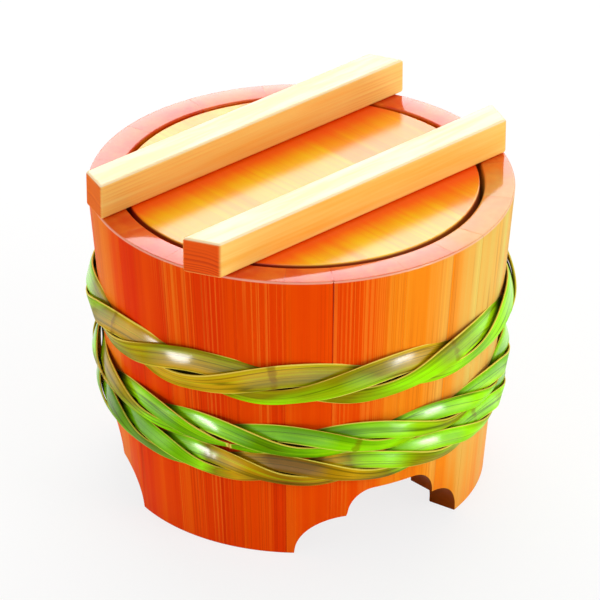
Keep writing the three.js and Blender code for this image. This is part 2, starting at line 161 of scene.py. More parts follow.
class Graph:
    """Adds nodes to a tree and links them. A value is a socket, a number or a tuple of numbers."""

    def __init__(self, tree):
        self.tree = tree

    def node(self, kind, inputs=None, **settings):
        made = self.tree.nodes.new(kind)
        for name, value in settings.items():
            setattr(made, name, value)
        for key, value in (inputs or {}).items():
            self.feed(made.inputs[key], value)
        return made

    def feed(self, socket, value):
        if isinstance(value, bpy.types.NodeSocket):
            self.tree.links.new(value, socket)
        else:
            socket.default_value = value

    def math(self, operation, *values, clamp=False):
        inputs = dict(enumerate(values))
        return self.node("ShaderNodeMath", inputs, operation=operation, use_clamp=clamp).outputs[0]

    def vector(self, operation, *values):
        made = self.node("ShaderNodeVectorMath", dict(enumerate(values)), operation=operation)
        return made.outputs["Value" if operation in ("DOT_PRODUCT", "LENGTH", "DISTANCE") else "Vector"]

    def combine(self, x, y, z):
        return self.node("ShaderNodeCombineXYZ", {0: x, 1: y, 2: z}).outputs[0]

    def separate(self, value):
        return self.node("ShaderNodeSeparateXYZ", {0: value}).outputs

    def stored(self, name):
        """A number kept on the piece's points."""
        return self.node("ShaderNodeAttribute", attribute_name=name).outputs["Fac"]

    def minus(self, first, second):
        return self.math("SUBTRACT", first, second)

    def clamped(self, value):
        return self.math("ADD", value, 0, clamp=True)

    def add(self, first, *rest):
        for value in rest:
            first = self.math("ADD", first, value)
        return first

    def times(self, first, *rest):
        for value in rest:
            first = self.math("MULTIPLY", first, value)
        return first

    def ramp(self, value, start, end, low=0.0, high=1.0):
        """Goes smoothly from low to high as the value goes from start to end."""
        inputs = {"Value": value, "From Min": start, "From Max": end, "To Min": low, "To Max": high}
        return self.node("ShaderNodeMapRange", inputs, interpolation_type="SMOOTHSTEP").outputs[0]

    def noise(self, vector, scale, detail=2.0, roughness=0.5):
        inputs = {"Vector": vector, "Scale": scale, "Detail": detail, "Roughness": roughness}
        return self.node("ShaderNodeTexNoise", inputs).outputs["Fac"]

    def tints(self, share, stops):
        """A colour along a row of colours, each given with its place from 0 to 1."""
        made = self.node("ShaderNodeValToRGB", {"Fac": share})
        elements = made.color_ramp.elements
        for place, _ in stops[1:-1]:
            elements.new(place)
        for element, (place, colour) in zip(elements, stops):
            element.position = place
            element.color = colour
        return made.outputs["Color"]

    def blend(self, share, first, second, mode="MIX"):
        """Two colours, mixed."""
        made = self.node("ShaderNodeMix", data_type="RGBA", blend_type=mode)
        self.feed(made.inputs[0], share)
        self.feed(made.inputs[6], first)
        self.feed(made.inputs[7], second)
        return made.outputs[2]


class GeometryGraph(Graph):
    """A geometry tree with a section, a material, counts and sizes as its named inputs."""

    def __init__(self, name, counts, sizes):
        super().__init__(bpy.data.node_groups.new(name, "GeometryNodeTree"))
        self.tree.interface.new_socket("Geometry", in_out="OUTPUT", socket_type="NodeSocketGeometry")
        kinds = {"Section": "Object", "Material": "Material"}
        kinds.update(dict.fromkeys(counts, "Int"))
        kinds.update(dict.fromkeys(sizes, "Float"))
        self.identifiers = {}
        for title, kind in kinds.items():
            made = self.tree.interface.new_socket(title, in_out="INPUT", socket_type="NodeSocket" + kind)
            self.identifiers[title] = made.identifier
        self.inputs = self.tree.nodes.new("NodeGroupInput").outputs

    def keep(self, geometry, **values):
        """The geometry with values stored on its points: the grain as a vector, all others as numbers."""
        for name, value in values.items():
            kind = "FLOAT_VECTOR" if name == "grain" else "FLOAT"
            inputs = {"Geometry": geometry, "Name": name, "Value": value}
            made = self.node("GeometryNodeStoreNamedAttribute", inputs, data_type=kind, domain="POINT")
            geometry = made.outputs[0]
        return geometry

    def kept(self, name):
        return self.node("GeometryNodeInputNamedAttribute", {"Name": name}, data_type="FLOAT").outputs[0]

    def line(self, steps):
        """A row of points, and how far along it a point is, from 0 to 1."""
        count = self.add(steps, 1)
        row = self.node("GeometryNodeMeshLine", {"Count": count, "Offset": (MM, 0, 0)}).outputs[0]
        index = self.node("GeometryNodeInputIndex").outputs[0]
        return row, self.math("DIVIDE", index, steps)

    def place(self, geometry, position):
        return self.node("GeometryNodeSetPosition", {"Geometry": geometry, "Position": position}).outputs[0]

    def round_the_tub(self, radius, angle, z):
        """A point at a radius, an angle from the tub's front and a height."""
        turned = self.add(angle, TUB_TURN)
        x = self.times(radius, self.math("SINE", turned))
        y = self.times(radius, self.math("COSINE", turned), -1)
        return self.combine(x, y, z)

    def curve(self, row, normal=None):
        """A row of points as a curve, whose normals can be given."""
        path = self.node("GeometryNodeMeshToCurve", {"Mesh": row}).outputs[0]
        if normal is None:
            return path
        inputs = {"Curve": path, "Normal": normal}
        return self.node("GeometryNodeSetCurveNormal", inputs, mode="FREE").outputs[0]

    def sweep(self, path, profile, scale=1.0):
        inputs = {"Curve": path, "Profile Curve": profile, "Scale": scale, "Fill Caps": True}
        return self.node("GeometryNodeCurveToMesh", inputs).outputs[0]

    def section(self):
        """The section's closed curve, with its two measures stored on it as section_x and section_y."""
        info = self.node("GeometryNodeObjectInfo", {"Object": self.inputs["Section"]})
        x, y, _ = self.separate(self.node("GeometryNodeInputPosition").outputs[0])
        return self.keep(info.outputs["Geometry"], section_x=x, section_y=y)

    def finish(self, geometry):
        smooth = self.node("GeometryNodeSetShadeSmooth", {"Geometry": geometry}).outputs[0]
        real = self.node("GeometryNodeRealizeInstances", {"Geometry": smooth}).outputs[0]
        inputs = {"Geometry": real, "Material": self.inputs["Material"]}
        made = self.node("GeometryNodeSetMaterial", inputs)
        output = self.tree.nodes.new("NodeGroupOutput")
        self.tree.links.new(made.outputs[0], output.inputs[0])


def new_object(name, data):
    made = bpy.data.objects.new(name, data)
    bpy.context.scene.collection.objects.link(made)
    return made


def section_curve(name, points):
    """A closed flat outline as a curve, for a tree to sweep. It is removed when the pieces are made."""
    data = bpy.data.curves.new(name, "CURVE")
    data.dimensions = "2D"
    data.fill_mode = "NONE"
    spline = data.splines.new("POLY")
    spline.points.add(len(points) - 1)
    for point, (x, y) in zip(spline.points, points):
        point.co = (x, y, 0, 1)
    spline.use_cyclic_u = True
    return new_object(name, data)


def grown(name, graph, values, sharp=None):
    """The piece that a tree makes from these values, as a plain mesh at the origin."""
    seedling = new_object(name, bpy.data.meshes.new(name))
    modifier = seedling.modifiers.new("shape", "NODES")
    modifier.node_group = graph.tree
    for title, value in values.items():
        modifier[graph.identifiers[title]] = value
    return flattened(seedling, sharp)


def flattened(piece, sharp=None):
    """The object with its modifiers made part of its mesh, and edges sharper than an angle kept sharp."""
    depsgraph = bpy.context.evaluated_depsgraph_get()
    mesh = bpy.data.meshes.new_from_object(piece.evaluated_get(depsgraph), depsgraph=depsgraph)
    mesh.name = piece.name
    piece.modifiers.clear()
    piece.data = mesh
    if sharp is not None:
        mesh.set_sharp_from_angle(angle=sharp)
    return piece


def set_on_points(piece, **rows):
    """Stores rows of values on a mesh's points: the grain as vectors, all others as numbers."""
    for name, row in rows.items():
        kind, field = ("FLOAT_VECTOR", "vector") if name == "grain" else ("FLOAT", "value")
        piece.data.attributes.new(name, kind, "POINT").data.foreach_set(field, row)


def corner_arc(centre, radius, start, steps):
    """Points of a quarter round, counter-clockwise from an angle in degrees."""
    turns = [math.radians(start + 90 * step / steps) for step in range(steps + 1)]
    return [(centre[0] + radius * math.cos(t), centre[1] + radius * math.sin(t)) for t in turns]


# Wood
class WoodGrain(Graph):
    """The grain of a straight-grown log, read across, through and along a piece."""

    def __init__(self, material, grain):
        super().__init__(material.node_tree)
        self.grain = grain
        self.across, self.through, self.along = self.separate(grain)

    def streaks(self, per_metre, along, detail=2.0, roughness=0.5):
        """Noise drawn out along the grain, from -1 to 1 about."""
        stretched = self.vector("MULTIPLY", self.grain, (per_metre, per_metre, along))
        return self.times(self.minus(self.noise(stretched, 1.0, detail, roughness), 0.5), 2)

    def fine_lines(self, per_metre, along, width):
        """Lines along the grain at uneven distances: where a slow noise passes its middle."""
        return self.ramp(self.math("ABSOLUTE", self.streaks(per_metre, along, detail=1)), width, 0)

    def rings(self, pith, spacing):
        """Late wood of growth rings round a pith, given across and through."""
        sideways = self.minus(self.across, pith[0])
        inwards = self.minus(self.through, pith[1])
        squares = self.add(self.times(sideways, sideways), self.times(inwards, inwards))
        ring = self.add(self.math("SQRT", squares), self.times(self.streaks(26, 4), 3 * MM))
        uneven = self.combine(self.times(ring, 160), self.times(self.along, 0.6), 0)
        uneven = self.noise(uneven, 1.0, detail=1)
        phase = self.math("FRACT", self.add(self.math("DIVIDE", ring, spacing), self.times(uneven, 3)))
        late = self.times(self.ramp(phase, 0.35, 0.85), self.ramp(phase, 1.0, 0.9))
        strength = self.combine(self.times(ring, 70), self.times(self.along, 2), 3)
        strength = self.noise(strength, 1.0, detail=1)
        return self.times(late, self.ramp(strength, 0.32, 0.68))


def new_wood(name, own_grain=True):
    """A material with its shader and the grain that it reads: the piece's own, or Object coordinates."""
    material = bpy.data.materials.new(name)
    material.use_nodes = True
    graph = Graph(material.node_tree)
    if own_grain:
        grain = graph.node("ShaderNodeAttribute", attribute_name="grain").outputs["Vector"]
    else:
        grain = graph.node("ShaderNodeTexCoord").outputs["Object"]
    shader = material.node_tree.nodes["Principled BSDF"]
    return material, WoodGrain(material, grain), shader


def set_surface(graph, shader, colour, roughness, height, strength=0.15, depth=0.1 * MM):
    graph.feed(shader.inputs["Base Color"], colour)
    graph.feed(shader.inputs["Roughness"], roughness)
    bump = graph.node("ShaderNodeBump", {"Height": height, "Strength": strength, "Distance": depth})
    graph.feed(shader.inputs["Normal"], bump.outputs[0])


def set_evenly(shader, values):
    """Values that are the same all over the surface."""
    for name, value in values.items():
        shader.inputs[name].default_value = value


def stave_wood():
    """Oiled red cedar: deep red to straw, lined along the grain, polished on the rim with a painted
    highlight along its outer edge, dark underneath as end grain and painted shade.
    """
    material, graph, shader = new_wood("oiled_stave_wood")
    tone, rim, foot, worn = (graph.stored(name) for name in ("tone", "rim", "foot", "worn"))
    face = graph.minus(1, rim)
    broad = graph.streaks(62, 1.6, detail=1)
    narrow = graph.streaks(250, 2.2)
    fibre = graph.times(graph.streaks(2200, 24, detail=3, roughness=0.65), graph.ramp(face, 0, 1, low=0.2))
    share = graph.add(tone, graph.times(broad, 0.22), graph.times(narrow, 0.11), graph.times(fibre, 0.06))
    stops = [
        (0.0, srgb(224, 34, 0)),
        (0.3, srgb(238, 76, 0)),
        (0.6, srgb(246, 140, 22)),
        (1.0, srgb(222, 198, 100)),
    ]
    colour = graph.tints(share, stops)
    lined = graph.ramp(graph.streaks(45, 5, detail=1), -0.1, 0.35)
    late = graph.times(graph.fine_lines(560, 0.9, 0.16), lined, 0.42)
    sparse = graph.ramp(graph.streaks(60, 9, detail=2), 0.0, 0.4)
    late = graph.math("MAXIMUM", late, graph.times(graph.fine_lines(90, 0.7, 0.035), sparse, 0.5))
    late = graph.times(late, face)
    grouped = graph.ramp(graph.streaks(50, 4, detail=1), -0.15, 0.3)
    early = graph.times(graph.fine_lines(480, 0.8, 0.14), grouped, face)
    lighter = graph.blend(1.0, colour, srgb(236, 128, 40), "SCREEN")
    colour = graph.blend(graph.times(early, 0.42), colour, lighter)
    darker = graph.blend(1.0, colour, srgb(196, 118, 70), "MULTIPLY")
    colour = graph.blend(late, colour, darker)
    end_grain = graph.ramp(graph.streaks(75, 1, detail=3), -0.35, 0.4)
    end_colour = graph.blend(end_grain, srgb(218, 56, 6), srgb(236, 112, 26))
    pale = graph.ramp(tone, 0.55, 0.9)
    rim_share = graph.times(rim, graph.ramp(pale, 0, 1, low=0.7, high=0.42))
    colour = graph.blend(rim_share, colour, end_colour)
    # Darker end grain and painted shade on the underside and the faces of the arches
    colour = graph.blend(graph.times(foot, 0.95), colour, srgb(140, 58, 4))
    # Painted highlight as well as wear: a pale line along the rim's rounded outer edge
    colour = graph.blend(graph.times(worn, 0.5), colour, srgb(255, 212, 186))
    roughness = graph.add(0.4, graph.times(fibre, 0.06), graph.times(rim, -0.1))
    set_surface(graph, shader, colour, roughness, graph.add(fibre, graph.times(late, -1)))
    graph.feed(shader.inputs["Coat Weight"], graph.times(rim, graph.ramp(pale, 0, 1, low=1.0, high=0.75)))
    set_evenly(shader, {"Coat Roughness": 0.09, "Coat IOR": 1.5, "Specular IOR Level": 0.015})
    return material


def board_wood(name, pale, deep, line, line_share, rough, specular, bar_shade_lines=()):
    """Planks with soft streaks along the grain, darker at the edge as edge grain and painted shade, and
    with painted shade along given lines across Y.
    """
    material, graph, shader = new_wood(name)
    tone = graph.stored("tone")
    broad = graph.streaks(60, 3)
    narrow = graph.streaks(240, 5)
    fibre = graph.streaks(1900, 26, detail=3, roughness=0.65)
    share = graph.add(tone, graph.times(broad, 0.5), graph.times(narrow, 0.3), graph.times(fibre, 0.14))
    colour = graph.blend(graph.clamped(share), deep, pale)
    late = graph.rings((-140 * MM, -40 * MM), 3.4 * MM)
    colour = graph.blend(graph.times(late, line_share), colour, line)
    edge = graph.stored("edge")
    y = graph.separate(graph.node("ShaderNodeTexCoord").outputs["Object"])[1]
    # Painted shade beside the bars, in a deep orange
    for middle in bar_shade_lines:
        away = graph.math("ABSOLUTE", graph.minus(y, middle))
        away = graph.add(away, graph.times(narrow, 2 * MM))
        colour = graph.blend(graph.ramp(away, BAR_SHADE_REACH, BAR_SHADE_CORE, high=0.9), colour, srgb(255, 68, 0))
    # Edge grain and painted shade: darker towards the board's edge, where it meets the rim
    colour = graph.blend(graph.times(edge, 0.9), colour, srgb(124, 14, 0))
    roughness = graph.add(rough, graph.times(fibre, 0.05), graph.times(edge, 0.4))
    set_surface(graph, shader, colour, roughness, graph.add(fibre, graph.times(late, 0.4)))
    set_evenly(shader, {"Specular IOR Level": specular})
    return material


def bar_wood():
    """Planed bars: pale along the grain, polished on top, painted paler on the tops and crests as a
    highlight, darker with clear rings on their sawn ends.
    """
    material, graph, shader = new_wood("planed_bar_wood")
    tone, sawn, top, crest = (graph.stored(name) for name in ("tone", "sawn", "top", "crest"))
    broad = graph.streaks(70, 12)
    narrow = graph.streaks(430, 14, detail=3)
    fibre = graph.streaks(1800, 24, detail=3, roughness=0.65)
    late = graph.rings((4 * MM, -46 * MM), 1.7 * MM)
    share = graph.add(tone, graph.times(broad, 0.55), graph.times(narrow, 0.5), graph.times(fibre, 0.16))
    colour = graph.blend(graph.clamped(share), srgb(252, 178, 62), srgb(255, 218, 126))
    figured = graph.ramp(graph.streaks(40, 14, detail=1), -0.1, 0.4, low=0.05, high=0.3)
    colour = graph.blend(graph.times(late, figured), colour, srgb(230, 128, 26))
    end_colour = graph.blend(graph.ramp(tone, 0.4, 0.75), srgb(238, 84, 4), srgb(242, 116, 14))
    end_colour = graph.blend(graph.times(late, 0.6), end_colour, srgb(190, 46, 0))
    colour = graph.blend(sawn, colour, end_colour)
    # Painted highlight: the rounded crest and the top go towards a near-white cream
    colour = graph.blend(graph.ramp(crest, 0.3, 0.7, high=0.75), colour, srgb(255, 240, 204))
    # Painted highlight over the planed tops: paler than the sides, with a mottle
    mottle = graph.streaks(120, 14, detail=3, roughness=0.6)
    planed_top_and_highlight = graph.blend(graph.ramp(mottle, -0.35, 0.35), srgb(250, 200, 104), srgb(254, 226, 178))
    colour = graph.blend(graph.times(top, 0.85), colour, planed_top_and_highlight)
    roughness = graph.add(0.34, graph.times(fibre, 0.06), graph.times(sawn, 0.3))
    set_surface(graph, shader, colour, roughness, graph.add(fibre, graph.times(late, 0.5)))
    graph.feed(shader.inputs["Coat Weight"], graph.times(top, 0.82))
    set_evenly(shader, {"Coat Roughness": 0.25, "Specular IOR Level": 0.1})
    return material


def peg_wood():
    """Dry bamboo for the pegs and nails."""
    material, graph, shader = new_wood("peg_bamboo", own_grain=False)
    fibre = graph.streaks(900, 900, detail=2)
    share = graph.math("MULTIPLY_ADD", fibre, 0.5, 0.5, clamp=True)
    colour = graph.blend(share, srgb(188, 148, 70), srgb(226, 200, 124))
    set_surface(graph, shader, colour, graph.add(0.55, graph.times(fibre, 0.08)), fibre)
    return material


def split_bamboo():
    """Split green bamboo: glossy fibrous skin, pale inner face, straw-coloured cut edges, brown nodes, and
    painted shade deep in the twist.
    """
    material, graph, shader = new_wood("split_bamboo")
    skin, edge, node, dry, deep = (graph.stored(name) for name in ("skin", "edge", "node", "dry", "deep"))
    fibre = graph.streaks(2600, 20, detail=3, roughness=0.6)
    streak = graph.streaks(520, 7)
    patch = graph.streaks(70, 13, detail=3)
    ripe = graph.streaks(30, 13, detail=2)
    blotch = graph.streaks(260, 210)
    ripeness = graph.add(0.2, graph.times(dry, 0.4), graph.times(ripe, 0.62), graph.times(patch, 0.18))
    stops = [
        (0.0, srgb(88, 124, 0)),
        (0.18, srgb(110, 180, 0)),
        (0.38, srgb(160, 244, 6)),
        (0.55, srgb(142, 136, 2)),
        (0.76, srgb(212, 164, 16)),
        (1.0, srgb(132, 90, 0)),
    ]
    colour = graph.tints(ripeness, stops)
    lit = graph.blend(1.0, colour, srgb(124, 174, 8), "SCREEN")
    colour = graph.blend(graph.ramp(streak, 0.0, 0.5, high=0.7), colour, lit)
    colour = graph.blend(graph.ramp(streak, -0.1, -0.5, high=0.4), colour, srgb(54, 74, 0))
    colour = graph.blend(graph.ramp(fibre, 0.1, 0.7, high=0.25), colour, srgb(70, 92, 0))
    colour = graph.blend(graph.times(graph.fine_lines(230, 5, 0.05), 0.6), colour, srgb(60, 64, 0))
    bare = graph.add(edge, graph.times(patch, 0.2), graph.times(streak, 0.06))
    colour = graph.blend(graph.ramp(bare, 0.92, 1.0, high=0.85), colour, srgb(246, 226, 96))
    ragged = graph.add(node, graph.times(blotch, 0.9), graph.times(streak, 0.3))
    scar = graph.times(graph.ramp(ragged, 0.55, 1.1), graph.ramp(node, 0, 0.3))
    colour = graph.blend(graph.times(scar, 0.48), colour, srgb(120, 66, 6))
    colour = graph.blend(skin, srgb(206, 164, 44), colour)
    # Painted shade: near black where a strip lies deepest in the twist, and on the core strand
    colour = graph.blend(graph.times(deep, 0.85), colour, srgb(26, 28, 0))
    gloss = graph.add(0.3, graph.times(fibre, 0.06), graph.times(scar, 0.25))
    roughness = graph.add(gloss, graph.times(graph.minus(1, skin), 0.25), graph.times(deep, 0.3))
    height = graph.add(graph.times(fibre, 0.5), graph.times(streak, 0.7), graph.times(scar, -0.5))
    set_surface(graph, shader, colour, roughness, height, strength=0.3, depth=0.12 * MM)
    graph.feed(shader.inputs["Coat Weight"], graph.times(graph.stored("polish"), 0.9))
    set_evenly(shader, {"Coat Roughness": 0.18, "Coat IOR": 1.65, "Specular IOR Level": 0.02})
    return material


STAVE_WOOD = stave_wood()
LID_WOOD = board_wood(
    "lid_wood",
    pale=srgb(255, 210, 4),
    deep=srgb(255, 148, 0),
    line=srgb(240, 116, 0),
    line_share=0.25,
    rough=0.15,
    specular=0.5,
    bar_shade_lines=BAR_LINES,
)
BASE_WOOD = board_wood(
    "base_wood",
    pale=srgb(240, 160, 80),
    deep=srgb(216, 104, 34),
    line=srgb(176, 74, 20),
    line_share=0.4,
    rough=0.5,
    specular=0.3,
)
BAR_WOOD = bar_wood()
PEG_BAMBOO = peg_wood()
BAMBOO = split_bamboo()


# Staves
def wall_section():
    """The wall's outline as depth from its outside and height, with rounded edges and the base's groove."""
    roof = BASE_BOTTOM + BASE_THICKNESS + 2 * GROOVE_PLAY
    middle = TUB_HEIGHT / 2
    outer_foot = corner_arc((FOOT_ROUND, FOOT_ROUND), FOOT_ROUND, 180, 3)
    inner_foot = corner_arc((WALL_THICKNESS - FOOT_ROUND, FOOT_ROUND), FOOT_ROUND, 270, 3)
    inner_rim = corner_arc((WALL_THICKNESS - RIM_ROUND, TUB_HEIGHT - RIM_ROUND), RIM_ROUND, 0, 4)
    outer_rim = corner_arc((RIM_ROUND, TUB_HEIGHT - RIM_ROUND), RIM_ROUND, 90, 4)
    groove = [
        (WALL_THICKNESS, BASE_BOTTOM),
        (WALL_THICKNESS - GROOVE_DEPTH, BASE_BOTTOM),
        (WALL_THICKNESS - GROOVE_DEPTH, roof),
        (WALL_THICKNESS, roof),
    ]
    inside = groove + [(WALL_THICKNESS, middle)]
    outside = [(0, middle), (0, BASE_BOTTOM)]
    return outer_foot + inner_foot + inside + inner_rim + outer_rim + outside


def stave_graph():
    """Sweeps the wall's section from joint to joint, squeezes it over the arches and eases its joints."""
    sizes = ["Start Angle", "End Angle", "Left Ease", "Right Ease", "Right Chip"]
    sizes += ["Grain Offset", "Left Tone", "Right Tone"]
    graph = GeometryGraph("stave", ["Columns"], sizes)
    start, end = graph.inputs["Start Angle"], graph.inputs["End Angle"]
    row, along = graph.line(graph.inputs["Columns"])
    # Columns lie closer together towards the joints
    swing = graph.math("COSINE", graph.times(along, math.pi))
    close_at_ends = graph.minus(0.5, graph.times(swing, 0.5))
    span = graph.minus(end, start)
    row = graph.keep(row, turn=graph.add(start, graph.times(close_at_ends, span)))
    swept = graph.sweep(graph.curve(row), graph.section())
    angle, depth, height = graph.kept("turn"), graph.kept("section_x"), graph.kept("section_y")

    def quarter(distance, narrow, wide):
        reach = graph.minus(wide, narrow)
        share = graph.math("DIVIDE", graph.minus(distance, narrow), reach, clamp=True)
        return graph.math("SQRT", graph.minus(1, graph.times(share, share)))

    arch = 0.0
    for middle in ARCH_MIDDLES:
        away = graph.math("WRAP", graph.minus(angle, middle), math.pi, -math.pi)
        aside = graph.times(graph.math("SIGN", away), ARCH_CUSP_ASIDE)
        away = graph.math("ABSOLUTE", away)
        cusp = graph.add(aside, ARCH_CUSP_HALF)
        top = graph.add(aside, ARCH_TOP_HALF)
        lower_round = graph.times(quarter(away, cusp, ARCH_HALF), ARCH_CUSP_HEIGHT)
        upper_round = graph.times(quarter(away, top, cusp), ARCH_HEIGHT - ARCH_CUSP_HEIGHT)
        arch = graph.add(lower_round, upper_round, arch)
    squeeze = graph.minus(1, graph.math("DIVIDE", height, BASE_BOTTOM, clamp=True))
    z = graph.add(height, graph.times(arch, squeeze))

    def rounded(angle_to_joint, ease):
        share = graph.math("DIVIDE", graph.times(angle_to_joint, FOOT_RADIUS), ease, clamp=True)
        left = graph.minus(1, share)
        return graph.times(left, left, ease, 0.7)

    to_right = graph.minus(end, angle)
    eased = graph.add(
        rounded(graph.minus(angle, start), graph.inputs["Left Ease"]),
        rounded(to_right, graph.inputs["Right Ease"]),
    )
    near_rim = graph.ramp(height, TUB_HEIGHT - CHIP_HEIGHT, TUB_HEIGHT - RIM_ROUND)
    outside = graph.math("LESS_THAN", depth, 2 * RIM_ROUND)
    chip = graph.times(rounded(to_right, graph.inputs["Right Chip"]), near_rim, outside)
    inner = graph.math("GREATER_THAN", depth, WALL_THICKNESS / 2)
    inwards = graph.minus(graph.times(inner, 2), 1)
    on_rim = graph.math("GREATER_THAN", height, TUB_HEIGHT - 2 * RIM_ROUND)
    z = graph.minus(z, graph.times(eased, on_rim, EASE_AT_RIM))
    radius = graph.add(FOOT_RADIUS, graph.times(z, WALL_TAPER), graph.times(eased, inwards))
    radius = graph.minus(graph.minus(radius, depth), chip)
    placed = graph.place(swept, graph.round_the_tub(radius, angle, z))
    across = graph.times(graph.minus(angle, start), outer_radius(TUB_HEIGHT / 2))
    offset = graph.inputs["Grain Offset"]
    grain = graph.combine(graph.add(across, offset), depth, graph.add(z, graph.times(offset, 7)))
    share = graph.math("DIVIDE", graph.minus(angle, start), span)
    tone = graph.ramp(share, 0, 1, graph.inputs["Left Tone"], graph.inputs["Right Tone"])
    near_foot = graph.ramp(z, FOOT_TONE_TOP, FOOT_TONE_BOTTOM, high=FOOT_TONE_SHARE)
    tone = graph.add(tone, graph.times(graph.minus(FOOT_TONE, tone), near_foot))
    rim = graph.ramp(height, TUB_HEIGHT - RIM_ROUND, TUB_HEIGHT - 0.3 * RIM_ROUND)
    # The underside, arch faces included, darkened as end grain and as painted shade
    foot = graph.ramp(height, 0.8 * FOOT_ROUND, 0.2 * FOOT_ROUND)
    # The rim's rounded outer edge, which takes a painted highlight as well as wear
    on_edge = graph.ramp(height, TUB_HEIGHT - RIM_ROUND, TUB_HEIGHT - 0.6 * RIM_ROUND)
    below_top = graph.ramp(height, TUB_HEIGHT, TUB_HEIGHT - 0.25 * RIM_ROUND)
    worn = graph.times(on_edge, below_top, outside)
    graph.finish(graph.keep(placed, grain=grain, tone=tone, rim=rim, worn=worn, foot=foot))
    return graph


def make_staves():
    graph = stave_graph()
    section = section_curve("wall_section", wall_section())
    ring = sum(STAVE_SHARES)
    joint = FIRST_JOINT
    for number, (share, tones) in enumerate(zip(STAVE_SHARES, STAVE_TONES), 1):
        width = 2 * math.pi * share / ring
        setback = JOINT_GAP / RIM_RADIUS
        values = {
            "Section": section,
            "Columns": STAVE_COLUMNS,
            "Start Angle": joint + setback,
            "End Angle": joint + width - setback,
            "Left Ease": OPEN_JOINT_EASE if number - 1 in OPEN_JOINTS else JOINT_EASE,
            "Right Ease": OPEN_JOINT_EASE if number in OPEN_JOINTS else JOINT_EASE,
            "Right Chip": CHIP_DEPTH if number == CHIPPED_STAVE else JOINT_GAP,
            "Grain Offset": GRAIN_STEP * number % 1 * GRAIN_SPREAD,
            "Left Tone": tones[0],
            "Right Tone": tones[1],
            "Material": STAVE_WOOD,
        }
        stave = grown(f"stave_{number:02d}_wood", graph, values, sharp=math.radians(40))
        dress(stave, "tub", "stave_wood", f"stave_{number:02d}")
        joint += width
    bpy.data.objects.remove(section)


def dress(piece, body, slot, *nodes):
    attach(piece, body)
    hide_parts(*nodes)


# Hoops
def strip_section(width, thickness, dome):
    """A split strip's outline: a domed skin on the outer side, thinner edges and a hollow back."""
    steps = 10
    outer = []
    inner = []
    for step in range(steps + 1):
        across = -1 + 2 * step / steps
        middle = dome * (0.5 - across**2)
        half = thickness * (0.5 - 0.22 * across**6)
        outer.append((middle + half, across * width / 2))
        inner.append((middle - half, across * width / 2))
    return outer + inner[::-1]


